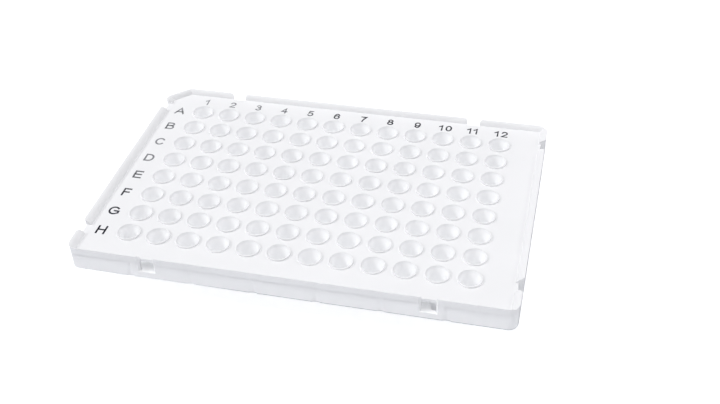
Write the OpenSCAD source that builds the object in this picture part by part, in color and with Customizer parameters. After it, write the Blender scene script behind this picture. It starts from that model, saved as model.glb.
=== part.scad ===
// Low-profile 96-well plate with a raised rim and a short skirt, moulded in one piece.
// Row A lies at the back (+Y) and column 1 at the left (-X), so well A1 is by the cut corner.
// The origin is under the middle of the plate, on the surface that the well tips rest on.

/* [Footprint] */
// Length of the plate at the foot of the skirt
plate_length = 127.76; // [122:0.01:160]
// Width of the plate at the foot of the skirt
plate_width = 85.48; // [81:0.01:110]
// Outer radius of the upright corners
corner_radius = 3; // [2.6:0.1:5]
// Leg of the cut corner beside well A1
key_corner = 6; // [3:0.1:8]

/* [Heights] */
// Height of the well tops above the surface that the tips rest on
well_height = 14; // [11:0.1:20]
// Height of the ring around each well above the deck
ring_height = 0.55; // [0.3:0.05:1.2]
// Height of the rim above the deck
rim_height = 1.7; // [1:0.1:2.2]
// Thickness of the deck
deck_thickness = 1.1; // [0.8:0.1:1.8]
// Height from the foot of the skirt to the top of the rim
skirt_height = 7.5; // [5.5:0.1:11]

/* [Rim and skirt] */
// Width of the short sides' rim where it meets the deck
rim_width = 2.25; // [1.8:0.05:2.5]
// Width of the other sides' rim where it meets the deck
rim_width_long = 1.3; // [1:0.05:1.8]
// Width of the flat top of the rim
rim_flat = 0.25; // [0.1:0.05:0.4]
// Radius of the rim's rounded inner side
rim_crown = 2.4; // [2.4:0.1:5]
// Height of the upright band that runs round the top of the outer wall
band_height = 2.15; // [1.6:0.05:3]
// Depth by which the skirt starts in from the band
skirt_step = 0.25; // [0.1:0.05:0.4]
// Thickness of the skirt wall
skirt_wall = 1.2; // [0.9:0.1:1.6]

/* [Windows] */
// Width of each window at the inside of the wall
window_width = 4.1; // [3:0.1:5]
// Width of each window at the outside of the wall
window_flare = 5.4; // [5.2:0.1:7]
// Depth of the bevel that makes each window wider outside
window_bevel = 0.75; // [0.3:0.05:0.85]
// Depth of the window sill below the rim's top
window_depth = 5.45; // [4.5:0.05:6]
// Distance of the long sides' windows from the middle of the plate
window_x = 40; // [20:0.25:50]
// Distance of the short sides' windows from the middle of the plate
window_y = 32.5; // [10:0.25:33]

/* [Wells] */
// Number of wells in a row
columns = 12; // [1:1:12]
// Number of rows of wells
rows = 8; // [1:1:8]
// Spacing of the wells
pitch = 9; // [8.4:0.1:9.6]
// Outer diameter of the ring around each well
ring_diameter = 7.1; // [6.9:0.1:7.6]
// Diameter of the well's mouth at the top of the ring
mouth_diameter = 6.5; // [6:0.1:6.6]
// Radius of the ring's outer top edge
ring_edge = 0.12; // [0.05:0.01:0.2]
// Depth of the lead-in below the top of the ring
mouth_depth = 0.9; // [0.5:0.1:1.4]
// Outer radius of the rounded well tip
tip_radius = 1.55; // [1.2:0.05:1.8]
// Half angle of the well's cone, in degrees
cone_angle = 8; // [6:0.25:8.5]
// Thickness of the well wall
well_wall = 0.35; // [0.2:0.05:0.6]

/* [Ribs] */
// Thickness of the ribs between the skirt and the wells
rib_thickness = 0.8; // [0.6:0.1:1.2]
// Depth of the shallow mark that each rib leaves in the skirt's outer face
sink_depth = 0.05; // [0.02:0.01:0.1]
// Radius of curvature of those marks
sink_radius = 3; // [1:0.5:5]

/* [Hidden] */
$fn = 48;
cut = 1;                                        // how far each cutter reaches past what it cuts
deck_top = well_height - ring_height;
deck_under = deck_top - deck_thickness;
rim_top = deck_top + rim_height;
foot = rim_top - skirt_height;
band_foot = rim_top - band_height;
wall_depth = skirt_wall + skirt_step;           // from the upright band to the skirt's inner face
ring_radius = ring_diameter / 2;
half_x = plate_length / 2 - corner_radius;      // places of the corner centres
half_y = plate_width / 2 - corner_radius;
key_bend = corner_radius * tan(22.5);           // tangent length of a 45 degree bend
key_leg = key_corner + key_bend - corner_radius;
// Upright corners, counter-clockwise: centre, and the way the wall faces before and after it
CORNERS = [
    [[half_x, -half_y], -90, 0],
    [[half_x, half_y], 0, 90],
    [[-half_x + key_leg, half_y], 90, 135],
    [[-half_x, half_y - key_leg], 135, 180],
    [[-half_x, -half_y], 180, 270],
];
rib_pitch = 2 * pitch;
rib_count = floor(columns / 2);
well_edge_x = (columns - 1) * pitch / 2;
well_edge_y = (rows - 1) * pitch / 2;

function cone_radius(ball, base, height) = ball / cos(cone_angle) + (height - base) * tan(cone_angle);

// Outline of the whole plate, with its round corners, seen from above and drawn in by a margin.
module outline(margin = 0) {
    r = corner_radius - margin;
    polygon([for (c = CORNERS, facing = [c[1], c[2]]) c[0] + r * [cos(facing), sin(facing)]]);
    for (c = CORNERS) translate(c[0]) circle(r = r);
}

// A block of the plate's outline between two heights.
module block(bottom, top, margin = 0) {
    translate([0, 0, bottom]) linear_extrude(top - bottom) outline(margin);
}

// A bar along each side of the outline, past its corners. Its section is drawn with x outward
// from the side's face and y upward, and may differ on the short sides.
module along_each_side() {
    for (i = [0 : len(CORNERS) - 1]) {
        here = CORNERS[i];
        next = CORNERS[(i + 1) % len(CORNERS)];
        facing = here[2];
        $short_side = facing % 180 == 0;
        translate(next[0])
            rotate([90, 0, facing])
                translate([corner_radius, 0, -corner_radius])
                    linear_extrude(norm(next[0] - here[0]) + 2 * corner_radius) children();
    }
}

// Rim: a narrow flat on top, and an inner side that rounds down to the deck.
module rim_section(width) {
    run = width - rim_flat;
    chord = norm([run, rim_height]);
    dip = sqrt(pow(rim_crown, 2) - pow(chord / 2, 2)) / chord;
    polygon([
        [-width, deck_under], [cut, deck_under], [cut, rim_top], [-rim_flat, rim_top], [-width, deck_top],
    ]);
    intersection() {
        translate([dip * rim_height - (width + rim_flat) / 2, (deck_top + rim_top) / 2 - dip * run])
            circle(r = rim_crown);
        translate([-width, deck_top]) square([width + cut, rim_height]);
    }
}

// What the skirt's face gives away below the upright band, where it leans out to the foot.
module skirt_relief_section() {
    polygon([[-skirt_step, band_foot], [0, foot], [0, foot - cut], [cut, foot - cut], [cut, band_foot]]);
}

module body() {
    difference() {
        union() {
            block(foot, deck_top);
            intersection() {
                along_each_side() rim_section($short_side ? rim_width : rim_width_long);
                block(deck_under, rim_top + cut);
            }
        }
        along_each_side() skirt_relief_section();
        block(foot - cut, deck_under, wall_depth);
    }
}

module at_each_well() {
    for (c = [0 : columns - 1], r = [0 : rows - 1])
        translate([c * pitch - well_edge_x, r * pitch - well_edge_y, 0]) children();
}

module well_outside() {
    top = cone_radius(tip_radius, tip_radius, deck_under);
    rotate_extrude() intersection() {
        union() {
            polygon([
                [0, tip_radius], [tip_radius * cos(cone_angle), tip_radius * (1 - sin(cone_angle))],
                [top, deck_under], [ring_radius, deck_under],
                [ring_radius, well_height - ring_edge],
                [ring_radius - ring_edge, well_height - ring_edge],
                [ring_radius - ring_edge, well_height], [0, well_height],
            ]);
            translate([0, tip_radius]) circle(r = tip_radius);
            translate([ring_radius - ring_edge, well_height - ring_edge]) circle(r = ring_edge);
        }
        square([ring_diameter, well_height]);
    }
}

module well_inside() {
    ball = tip_radius - well_wall;
    throat = well_height - mouth_depth;
    rotate_extrude() intersection() {
        union() {
            polygon([
                [0, tip_radius], [ball * cos(cone_angle), tip_radius - ball * sin(cone_angle)],
                [cone_radius(ball, tip_radius, throat), throat],
                [mouth_diameter / 2, well_height], [mouth_diameter / 2, well_height + cut],
                [0, well_height + cut],
            ]);
            translate([0, tip_radius]) circle(r = ball);
        }
        square([ring_diameter, well_height + cut]);
    }
}

// A window: a slot down through the wall with its outer edges bevelled, and a gap through the rim.
// The wall's outer face is at y = 0 and faces +y. Where the deck covers a window, it ends at the
// bevel, and the slot goes through to the inside only below the deck.
module window(covered = false) {
    inner = window_width / 2;
    outer = window_flare / 2;
    slot_top = covered ? deck_under : rim_top + cut;
    translate([0, 0, rim_top - window_depth]) {
        linear_extrude(window_depth + cut) polygon([
            [inner, -window_bevel], [outer, 0], [outer, cut], [-outer, cut], [-outer, 0],
            [-inner, -window_bevel],
        ]);
        linear_extrude(slot_top - rim_top + window_depth) polygon([
            [-inner, -wall_depth], [inner, -wall_depth], [inner, -window_bevel], [outer, 0],
            [-outer, 0], [-inner, -window_bevel],
        ]);
    }
    translate([-inner, -rim_width - cut, deck_top])
        cube([window_width, rim_width + cut, rim_height + cut]);
}

// The deck covers the left side's windows, and no others.
module windows() {
    for (side = [0, 180], end = [-1, 1]) {
        rotate([0, 0, side]) translate([end * window_x, plate_width / 2, 0]) window();
        rotate([0, 0, side + 90]) translate([end * window_y, plate_length / 2, 0])
            window(covered = side == 0);
    }
}

module rib_places() {
    for (side = [0, 180], i = [0 : rib_count - 1])
        rotate([0, 0, side]) translate([(i - (rib_count - 1) / 2) * rib_pitch, 0, 0]) children();
}

module ribs() {
    rib_in = well_edge_y;
    rib_out = plate_width / 2 - skirt_step - skirt_wall / 2;
    rib_places()
        translate([-rib_thickness / 2, rib_in, foot + cut])
            cube([rib_thickness, rib_out - rib_in, deck_under - foot]);
}

module sink_marks() {
    rib_places()
        translate([0, plate_width / 2 + sink_radius - skirt_step - sink_depth, foot - cut])
            cylinder(r = sink_radius, h = band_foot - foot + cut, $fn = 96);
}

module plate() {
    color([0.93, 0.93, 0.95]) difference() {
        union() {
            body();
            ribs();
            at_each_well() well_outside();
        }
        at_each_well() well_inside();
        windows();
        sink_marks();
    }
}

plate();
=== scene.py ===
import math

import bmesh
import bpy
from mathutils import Matrix, Vector


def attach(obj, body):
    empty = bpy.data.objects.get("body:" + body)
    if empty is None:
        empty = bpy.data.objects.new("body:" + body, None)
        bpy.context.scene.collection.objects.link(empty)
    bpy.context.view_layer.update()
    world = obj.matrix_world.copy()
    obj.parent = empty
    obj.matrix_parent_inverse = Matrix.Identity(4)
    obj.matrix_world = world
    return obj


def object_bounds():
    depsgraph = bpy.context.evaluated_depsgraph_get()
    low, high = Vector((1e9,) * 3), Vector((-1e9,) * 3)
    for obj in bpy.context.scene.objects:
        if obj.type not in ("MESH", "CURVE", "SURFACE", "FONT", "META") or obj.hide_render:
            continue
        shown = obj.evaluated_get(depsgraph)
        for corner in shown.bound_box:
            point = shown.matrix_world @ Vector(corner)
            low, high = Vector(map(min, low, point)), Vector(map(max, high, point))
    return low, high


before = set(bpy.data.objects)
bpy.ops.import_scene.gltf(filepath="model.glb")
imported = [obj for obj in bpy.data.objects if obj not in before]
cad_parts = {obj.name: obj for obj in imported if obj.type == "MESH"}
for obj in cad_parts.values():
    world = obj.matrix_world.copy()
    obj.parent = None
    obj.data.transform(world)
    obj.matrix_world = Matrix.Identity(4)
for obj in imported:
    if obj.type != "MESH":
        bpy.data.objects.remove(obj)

MM = 0.001
cad_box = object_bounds()
scene = bpy.context.scene
scene.view_settings.view_transform = "Standard"

# ---------------------------------------------------------------- sizes, in mm

# The origin is under the middle of the plate, on the surface that the wells' tips rest on, so the
# highest corner gives half the length, half the width and the height of the rim.
HALF_LENGTH, HALF_WIDTH, RIM_TOP = cad_box[1] / MM
DECK_TOP = RIM_TOP - 1.7
RING_TOP = DECK_TOP + 0.55
SILL = RIM_TOP - 5.45       # where the windows end
FOOT = RIM_TOP - 7.5        # where the skirt ends
WALL = 1.5                  # reaches just past the outer wall's inner face
PITCH = 9.0                 # spacing of the wells
COLUMNS, ROWS = 12, 8
GRID_X, GRID_Y = COLUMNS * PITCH / 2, ROWS * PITCH / 2      # half the size of the wells' grid
CONE_SLOPE = 0.1405         # what a well's radius gains for each mm of height
CONE_REACH = 1.62           # radius just outside a well's cone, carried down to height 0
MOUTH_REACH = 3.27          # radius just outside a well's mouth


# ---------------------------------------------------------------- nodes

class Nodes:
    """A material's or world's node tree, with short calls to add and link nodes."""

    def __init__(self, tree):
        self.tree = tree
        tree.nodes.clear()

    def add(self, kind, values=None, **settings):
        node = self.tree.nodes.new(kind)
        for name, value in settings.items():
            setattr(node, name, value)
        for key, value in (values or {}).items():
            self.put(value, node.inputs[key])
        return node

    def put(self, value, socket):
        if isinstance(value, bpy.types.NodeSocket):
            self.tree.links.new(value, socket)
        else:
            socket.default_value = value

    def math(self, operation, a, b=0.0, c=0.0):
        return self.add("ShaderNodeMath", {0: a, 1: b, 2: c}, operation=operation).outputs[0]

    def times(self, a, b):
        return self.math("MULTIPLY", a, b)

    def above(self, value, limit):
        return self.math("GREATER_THAN", value, limit)

    def below(self, value, limit):
        return self.math("LESS_THAN", value, limit)

    def size(self, value):
        """The value without its sign."""
        return self.math("ABSOLUTE", value)

    def ramp(self, value, low, high, to_low=0.0, to_high=1.0, smooth=True):
        values = {"Value": value, "From Min": low, "From Max": high, "To Min": to_low, "To Max": to_high}
        kind = "SMOOTHSTEP" if smooth else "LINEAR"
        return self.add("ShaderNodeMapRange", values, interpolation_type=kind).outputs["Result"]

    def noise(self, where, scale, detail, rough=0.5):
        values = {"Vector": where, "Scale": scale, "Detail": detail, "Roughness": rough}
        return self.add("ShaderNodeTexNoise", values).outputs["Fac"]

    def mix(self, factor, a, b):
        values = {"Factor": factor, "A": a, "B": b}
        return self.add("ShaderNodeMix", values, data_type="RGBA").outputs["Result"]

    def split(self, vector):
        return self.add("ShaderNodeSeparateXYZ", {0: vector}).outputs

    def place(self):
        """The point on the object, in metres."""
        return self.add("ShaderNodeTexCoord").outputs["Object"]


def material(name):
    made = bpy.data.materials.new(name)
    made.use_nodes = True
    return made, Nodes(made.node_tree)


# ---------------------------------------------------------------- plastic

PLASTIC_LOW = (0.888, 0.89, 0.897, 1)       # the colours that the plastic drifts between
PLASTIC_HIGH = (0.902, 0.904, 0.911, 1)
DRIFT_SCALE = 60.0
GRAIN_SCALE = 5200.0
GRAIN_DEPTH = 0.02                          # mm
GRAIN_STRENGTH = 0.12
GLOSSIEST, DULLEST = 0.42, 0.5              # the roughness varies between these with the grain
SPECULAR = 0.35
# Painted light: the plastic glows in this colour in the wells, low in the long walls and on the window
# sills.
PAINTED_LIGHT_COLOUR = (0.93, 0.945, 0.965, 1)
WELL_PAINTED_LIGHT, WALL_PAINTED_LIGHT, SILL_PAINTED_LIGHT = 0.112, 0.05, 0.05
WELL_PAINTED_LIGHT_FROM, WELL_PAINTED_LIGHT_TO = 0.02, 1.0    # depths below a ring's top where the wells' painted light starts and is full, mm
WALL_PAINTED_LIGHT_FROM, WALL_PAINTED_LIGHT_TO = 2.0, 4.5     # the same in the long walls, below the rim's top
SILL_BAND = 0.05                            # how near to the sill's height a face must lie, mm
# Painted shade: the base colour darkens towards this at the skirt's foot and on the two end faces.
SHADE_PAINT_COLOUR = (0.5, 0.51, 0.53, 1)
FOOT_BAND = 0.4                             # height of the band of painted shade at the skirt's foot, mm
FOOT_SHADE_LEFT, FOOT_SHADE_RIGHT = 0.2, 0.8
SHADE_FROM, SHADE_TO = -30, -10               # where in X the left's painted shade turns to the right's, mm
END_SHADE = 0.45
END_BAND = 0.3                              # depth of the faces at the plate's two ends, mm
SQUARELY = 0.9                              # least share of a face's normal along the axis it looks along
EDGE_ANGLE = 28                             # bends under this are shaded round, degrees


def within_wells(n, axes, height, in_grid):
    """1 in the wells' walls and in what they enclose."""
    offsets = []
    for axis in ("X", "Y"):
        cell = n.math("FLOORED_MODULO", n.math("DIVIDE", axes[axis], PITCH * MM), 1.0)
        offsets.append(n.times(n.math("SUBTRACT", cell, 0.5), PITCH))
    squares = [n.times(offset, offset) for offset in offsets]
    radius = n.math("SQRT", n.math("ADD", *squares))
    cone = n.math("MULTIPLY_ADD", height, CONE_SLOPE, CONE_REACH)
    return n.times(n.below(radius, n.math("MINIMUM", cone, MOUTH_REACH)), in_grid)


def painted_light_strength(n, axes, height, facing, in_grid):
    """How strongly the plastic glows with painted light: in the wells, in the long walls under the deck,
    and on the window sills."""
    well = n.times(within_wells(n, axes, height, in_grid),
                   n.ramp(height, RING_TOP - WELL_PAINTED_LIGHT_FROM, RING_TOP - WELL_PAINTED_LIGHT_TO))
    # Painted light in the long walls, growing downwards below the rim's top.
    long_wall = n.above(n.size(axes["Y"]), (HALF_WIDTH - WALL) * MM)
    low = n.ramp(height, RIM_TOP - WALL_PAINTED_LIGHT_FROM, RIM_TOP - WALL_PAINTED_LIGHT_TO, smooth=False)
    # Painted light on the window sills' upward faces.
    at_sill = n.below(n.size(n.math("SUBTRACT", height, SILL)), SILL_BAND)
    sill = n.times(n.above(facing["Z"], SQUARELY), at_sill)
    painted_light = n.math("ADD", n.times(well, WELL_PAINTED_LIGHT), n.times(n.times(long_wall, low), WALL_PAINTED_LIGHT))
    return n.math("ADD", painted_light, n.times(sill, SILL_PAINTED_LIGHT))


def painted_shade(n, axes, height, facing, in_grid):
    """Painted shade: the skirt's foot is darker, more so to the right, and so are the upright faces at the
    plate's two ends.
    """
    band = n.times(n.ramp(height, FOOT + FOOT_BAND, FOOT + FOOT_BAND / 2), n.math("SUBTRACT", 1.0, in_grid))
    foot = n.times(band, n.ramp(axes["X"], SHADE_FROM * MM, SHADE_TO * MM, FOOT_SHADE_LEFT, FOOT_SHADE_RIGHT))
    # Painted shade on the upright faces at the plate's two ends.
    upright = n.above(n.size(facing["X"]), SQUARELY)
    end = n.times(upright, n.above(n.size(axes["X"]), (HALF_LENGTH - END_BAND) * MM))
    return n.math("MAXIMUM", foot, n.times(end, END_SHADE))


def polypropylene():
    """Satin white plastic. Its colour drifts a little, and its gloss and grain vary finely. Painted shade
    darkens the skirt's foot and the end faces, and painted light glows in the wells, low in the long walls
    and on the window sills."""
    made, n = material("polypropylene")
    where = n.place()
    axes = n.split(where)
    height = n.math("DIVIDE", axes["Z"], MM)
    facing = n.split(n.add("ShaderNodeNewGeometry").outputs["True Normal"])
    in_grid = n.times(n.below(n.size(axes["X"]), GRID_X * MM), n.below(n.size(axes["Y"]), GRID_Y * MM))
    clean = n.mix(n.ramp(n.noise(where, DRIFT_SCALE, 3.0), 0.35, 0.65), PLASTIC_LOW, PLASTIC_HIGH)
    grain = n.noise(where, GRAIN_SCALE, 2.0, 0.6)
    relief = {"Height": grain, "Strength": GRAIN_STRENGTH, "Distance": GRAIN_DEPTH * MM}
    bump = n.add("ShaderNodeBump", relief)
    shader = n.add("ShaderNodeBsdfPrincipled", {
        # Painted shade at the skirt's foot and on the end faces.
        "Base Color": n.mix(painted_shade(n, axes, height, facing, in_grid), clean, SHADE_PAINT_COLOUR),
        "Roughness": n.ramp(grain, 0.3, 0.7, GLOSSIEST, DULLEST),
        "IOR": 1.49,
        "Specular IOR Level": SPECULAR,
        # The emission is painted light.
        "Emission Color": PAINTED_LIGHT_COLOUR,
        "Emission Strength": painted_light_strength(n, axes, height, facing, in_grid),
        "Normal": bump.outputs[0],
    })
    n.add("ShaderNodeOutputMaterial", {"Surface": shader.outputs[0]})
    return made


def finish_plate(plate):
    """Gives the plate its plastic. Round faces are shaded smooth, and flat ones stay flat."""
    plate.data.materials.clear()
    plate.data.materials.append(polypropylene())
    plate.data.shade_smooth()
    weld = plate.modifiers.new("weld", "WELD")
    weld.merge_threshold = 0.001 * MM
    split = plate.modifiers.new("edges", "EDGE_SPLIT")
    split.split_angle = math.radians(EDGE_ANGLE)
    flat = plate.modifiers.new("flat_faces", "WEIGHTED_NORMAL")
    flat.mode = "FACE_AREA"
    flat.weight = 90


finish_plate(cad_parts["plate"])

# ---------------------------------------------------------------- print

INK_DARK, INK_LIGHT = (0.012, 0.012, 0.022, 1), (0.05, 0.05, 0.07, 1)
INK_THIN = (0.29, 0.295, 0.31, 1)
THIN_UNTIL, DENSE_FROM = 22, 72             # distances from the corner by A1, mm
INK_SCALE = 2500.0
INK_DEPTH = 0.02                            # mm


def ink():
    """Near-black print, a little uneven, and thinner towards the corner by A1."""
    made, n = material("ink")
    where = n.place()
    patchy = n.noise(where, INK_SCALE, 3.0, 0.7)
    dense = n.mix(n.ramp(patchy, 0.45, 0.8), INK_DARK, INK_LIGHT)
    corner = Vector((-HALF_LENGTH, HALF_WIDTH, DECK_TOP)) * MM
    away = n.add("ShaderNodeVectorMath", {0: where, 1: corner}, operation="DISTANCE").outputs["Value"]
    thin = n.ramp(away, DENSE_FROM * MM, THIN_UNTIL * MM)
    shader = n.add("ShaderNodeBsdfPrincipled", {
        "Base Color": n.mix(thin, dense, INK_THIN),
        "Roughness": n.ramp(patchy, 0.3, 0.7, 0.45, 0.7),
        "Specular IOR Level": 0.3,
    })
    n.add("ShaderNodeOutputMaterial", {"Surface": shader.outputs[0]})
    return made


ARC_STEP = 15               # degrees


def arc(x, y, across, up, start, end):
    """Points along part of an oval, from start to end degrees."""
    steps = max(4, round(abs(end - start) / ARC_STEP))
    angles = (math.radians(start + (end - start) * i / steps) for i in range(steps + 1))
    return [(x + across * math.cos(a), y + up * math.sin(a)) for a in angles]


HALF = 0.31                 # half the width of a figure that is 1 high
# The middle line of each stroke, where the character is 1 high and starts at the left, at 0.
STROKES = {
    "A": [[(0, 0), (0.46, 1), (0.92, 0)], [(0.15, 0.34), (0.77, 0.34)]],
    "B": [[(0, 0), (0, 1)] + arc(0.42, 0.765, 0.26, 0.235, 90, -90) + [(0, 0.53)],
          [(0.4, 0.53)] + arc(0.46, 0.265, 0.285, 0.265, 90, -90) + [(0, 0)]],
    "C": [arc(0.43, 0.5, 0.43, 0.5, 40, 320)],
    "D": [[(0, 0), (0, 1)] + arc(0.36, 0.5, 0.445, 0.5, 90, -90) + [(0, 0)]],
    "E": [[(0.7, 1), (0, 1), (0, 0), (0.72, 0)], [(0, 0.52), (0.65, 0.52)]],
    "F": [[(0.63, 1), (0, 1), (0, 0)], [(0, 0.51), (0.55, 0.51)]],
    "G": [arc(0.46, 0.5, 0.46, 0.5, 42, 312) + [(0.92, 0.2), (0.92, 0.46), (0.52, 0.46)]],
    "H": [[(0, 0), (0, 1)], [(0.75, 0), (0.75, 1)], [(0, 0.52), (0.75, 0.52)]],
    "0": [arc(HALF, 0.5, HALF, 0.5, 0, 360)],
    "1": [[(0.06, 0.75), (0.25, 0.85), (0.39, 1), (0.39, 0)]],
    "2": [arc(HALF, 0.71, 0.29, 0.29, 165, -36) + [(0, 0), (0.62, 0)]],
    "3": [arc(0.29, 0.765, 0.255, 0.235, 155, -90), arc(0.3, 0.265, 0.3, 0.265, 90, -155)],
    "4": [[(0.47, 0), (0.47, 1), (0, 0.3), (0.64, 0.3)]],
    "5": [[(0.56, 1), (0.14, 1)] + arc(0.3, 0.33, 0.31, 0.33, 140, -150)],
    "6": [arc(HALF, 0.32, 0.3, 0.32, 0, 360), arc(0.33, 0.45, HALF, 0.55, 35, 180)],
    "7": [[(0, 1), (0.62, 1), (0.4, 0.62), (0.26, 0.28), (0.2, 0)]],
    "8": [arc(HALF, 0.765, 0.25, 0.235, 0, 360), arc(HALF, 0.265, HALF, 0.265, 0, 360)],
    "9": [arc(HALF, 0.68, 0.3, 0.32, 0, 360), arc(0.29, 0.55, HALF, 0.55, 215, 360)],
}
WIDTHS = {"A": 0.92, "B": 0.745, "C": 0.86, "D": 0.805, "E": 0.72, "F": 0.63, "G": 0.92, "H": 0.75}
FIGURE_STEP = 0.94          # from one figure of a number to the next
CLOSE_STEP = 0.8            # the same in "11", whose figures are narrow
MITRE_LIMIT = 0.5           # least cosine of half a bend; the mitre of a sharper bend is cut short


def band(mesh, path, half, place):
    """A flat band along a path, mitred where it bends. place turns a point of it into metres."""
    path = [Vector(point) for point in path]
    closed = (path[0] - path[-1]).length < 1e-6
    if closed:
        path.pop()
    else:
        path[0] += (path[0] - path[1]).normalized() * half
        path[-1] += (path[-1] - path[-2]).normalized() * half
    edges = []
    for i, point in enumerate(path):
        before = point - path[i - 1] if closed or i else path[1] - point
        after = path[(i + 1) % len(path)] - point if closed or i + 1 < len(path) else before
        way = (before.normalized() + after.normalized()).normalized()
        side = Vector((-way.y, way.x))
        square = side.dot(Vector((-before.y, before.x)).normalized())
        reach = side * half / max(square, MITRE_LIMIT)
        edges.append([mesh.verts.new(place(point + reach)), mesh.verts.new(place(point - reach))])
    for i in range(len(edges) - (0 if closed else 1)):
        ahead = edges[(i + 1) % len(edges)]
        mesh.faces.new((edges[i][1], ahead[1], ahead[0], edges[i][0]))


def add_text(mesh, text, x, y, height, stroke):
    """Adds a text to a mesh. x and y are its middle, height is its full height, and all are in mm."""
    rise = height - stroke
    step = CLOSE_STEP if text == "11" else FIGURE_STEP
    width = WIDTHS.get(text, (len(text) - 1) * step + 2 * HALF)
    for i, character in enumerate(text):
        start = i * step - width / 2

        def place(point):
            return Vector((x + (start + point.x) * rise, y + (point.y - 0.5) * rise, DECK_TOP)) * MM

        for path in STROKES[character]:
            band(mesh, path, stroke / rise / 2, place)


def lettering(name, marks, height, stroke, finish):
    """One piece of flat print, made of marks: (text, x, y)."""
    mesh = bmesh.new()
    for text, x, y in marks:
        add_text(mesh, text, x, y, height, stroke)
    data = bpy.data.meshes.new(name)
    mesh.to_mesh(data)
    mesh.free()
    made = bpy.data.objects.new(name, data)
    scene.collection.objects.link(made)
    film = made.modifiers.new("film", "SOLIDIFY")
    film.thickness = INK_DEPTH * MM
    film.offset = 1
    data.materials.append(finish)
    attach(made, "root")


# The middle of "A" and of "1". The print sits a little off the wells' grid: the letters drift to the
# left towards the front, and the numbers are a little wider apart than the wells.
LETTER_X, LETTER_Y = 6.36 - HALF_LENGTH, GRID_Y - 4.75
NUMBER_X, NUMBER_Y = 3.83 - GRID_X, HALF_WIDTH - 4.84
LETTER_DRIFT, NUMBER_PITCH = -0.06, 9.05
LETTER_HEIGHT, LETTER_STROKE = 3.65, 0.58
NUMBER_HEIGHT, NUMBER_STROKE = 3.05, 0.48
letters = [("ABCDEFGH"[i], LETTER_X + i * LETTER_DRIFT, LETTER_Y - i * PITCH) for i in range(ROWS)]
numbers = [(str(i + 1), NUMBER_X + i * NUMBER_PITCH, NUMBER_Y) for i in range(COLUMNS)]
print_finish = ink()
lettering("row_letters", letters, LETTER_HEIGHT, LETTER_STROKE, print_finish)
lettering("column_numbers", numbers, NUMBER_HEIGHT, NUMBER_STROKE, print_finish)

# ---------------------------------------------------------------- camera

AIM = (12.92, -5.39)        # where the camera looks, at the height of the rings' tops, mm
DISTANCE = 302.83           # mm
TURN, RISE, ROLL = 14.173, 38.76, -1.867    # to the right of the front, up, and about its axis, degrees
FOCAL_LENGTH, SENSOR_WIDTH = 51.18, 36.0    # mm


def camera():
    """Looks down over the front edge, from a little to the right."""
    turn, rise, roll = (math.radians(angle) for angle in (TURN, RISE, ROLL))
    back = Vector((math.sin(turn) * math.cos(rise), -math.cos(turn) * math.cos(rise), math.sin(rise)))
    level = Vector((math.cos(turn), math.sin(turn), 0.0))
    right = level * math.cos(roll) + back.cross(level) * math.sin(roll)
    pose = Matrix((right, back.cross(right), back)).transposed().to_4x4()
    pose.translation = (Vector((*AIM, RING_TOP)) + back * DISTANCE) * MM
    lens = bpy.data.cameras.new("camera")
    lens.sensor_width = SENSOR_WIDTH
    lens.lens = FOCAL_LENGTH
    lens.clip_start = 0.01
    made = bpy.data.objects.new("camera", lens)
    made.matrix_world = pose
    scene.collection.objects.link(made)
    scene.camera = made


camera()

# ---------------------------------------------------------------- light

WHITE = (1, 1, 1)
COOL = (0.955, 0.957, 1.0)
ROOM = 0.41                 # strength of the light from all around


def sun(name, turn, rise, strength, width, colour=WHITE):
    """A lamp far off, towards turn degrees from +X to +Y and rise degrees up."""
    data = bpy.data.lights.new(name, "SUN")
    data.energy = strength
    data.angle = math.radians(width)
    data.color = colour
    made = bpy.data.objects.new(name, data)
    turn, rise = math.radians(turn), math.radians(rise)
    towards = Vector((math.cos(turn) * math.cos(rise), math.sin(turn) * math.cos(rise), math.sin(rise)))
    made.rotation_mode = "QUATERNION"
    made.rotation_quaternion = towards.to_track_quat("Z", "Y")
    scene.collection.objects.link(made)


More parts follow.
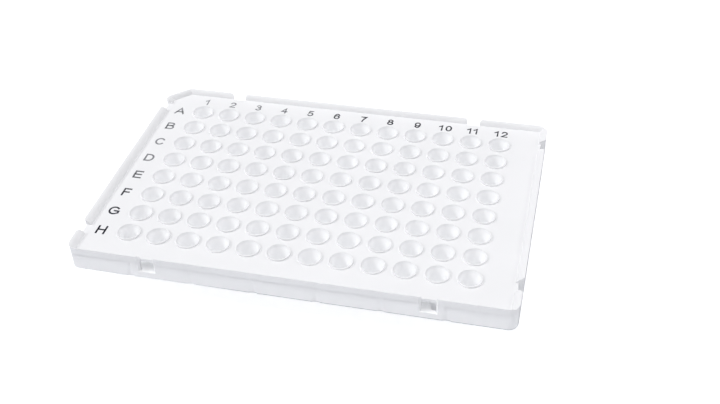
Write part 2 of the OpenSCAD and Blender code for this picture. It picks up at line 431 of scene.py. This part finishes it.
def studio():
    """A room that lights the plate softly from all around, and that the camera sees as white."""
    world = bpy.data.worlds.new("studio")
    scene.world = world
    world.use_nodes = True
    n = Nodes(world.node_tree)
    seen = n.add("ShaderNodeLightPath").outputs["Is Camera Ray"]
    room = n.add("ShaderNodeBackground", {"Color": (*COOL, 1), "Strength": ROOM})
    white = n.add("ShaderNodeBackground", {"Color": (*WHITE, 1), "Strength": 1.0})
    either = n.add("ShaderNodeMixShader", {0: seen, 1: room.outputs[0], 2: white.outputs[0]})
    n.add("ShaderNodeOutputWorld", {0: either.outputs[0]})


sun("key", -165, 38, 0.94, 2)
sun("overhead", -90, 81, 1.15, 25)
sun("left_front", -150, 20, 0.16, 50, COOL)
sun("right", 22, 30, 0.48, 5)
studio()

# ---------------------------------------------------------------- floor

FLOOR_HALF = 1.5                            # half its size, in metres
TABLE_COLOUR = (0.9, 0.915, 0.94, 1)
# The lesser lift under the plate's middle is painted shade.
LIFT_UNDER, LIFT_OPEN = 0.28, 0.66          # how far the camera sees it lifted towards white
LIFT_FROM, LIFT_TO = 13, 8                  # depths within the plate's outline where that changes, mm


def table():
    """A matt white table. The camera sees it lifted towards white, less so under the plate's middle, where
    the lesser lift is painted shade.
    """
    made, n = material("table")
    matt = n.add("ShaderNodeBsdfDiffuse", {"Color": TABLE_COLOUR})
    axes = n.split(n.place())
    past = [n.math("SUBTRACT", n.size(axes[axis]), half * MM)
            for axis, half in (("X", HALF_LENGTH), ("Y", HALF_WIDTH))]
    beyond = n.math("MAXIMUM", *past)
    strength = n.ramp(beyond, -LIFT_FROM * MM, -LIFT_TO * MM, LIFT_UNDER, LIFT_OPEN)
    lift = n.add("ShaderNodeEmission", {"Color": (*WHITE, 1), "Strength": strength})
    lifted = n.add("ShaderNodeAddShader", {0: matt.outputs[0], 1: lift.outputs[0]})
    seen = n.add("ShaderNodeLightPath").outputs["Is Camera Ray"]
    either = n.add("ShaderNodeMixShader", {0: seen, 1: matt.outputs[0], 2: lifted.outputs[0]})
    n.add("ShaderNodeOutputMaterial", {"Surface": either.outputs[0]})
    return made


def add_floor():
    corners = [(x * FLOOR_HALF, y * FLOOR_HALF, 0) for x, y in ((-1, -1), (1, -1), (1, 1), (-1, 1))]
    data = bpy.data.meshes.new("floor")
    data.from_pydata(corners, [], [(0, 1, 2, 3)])
    data.materials.append(table())
    floor = bpy.data.objects.new("floor", data)
    scene.collection.objects.link(floor)


add_floor()
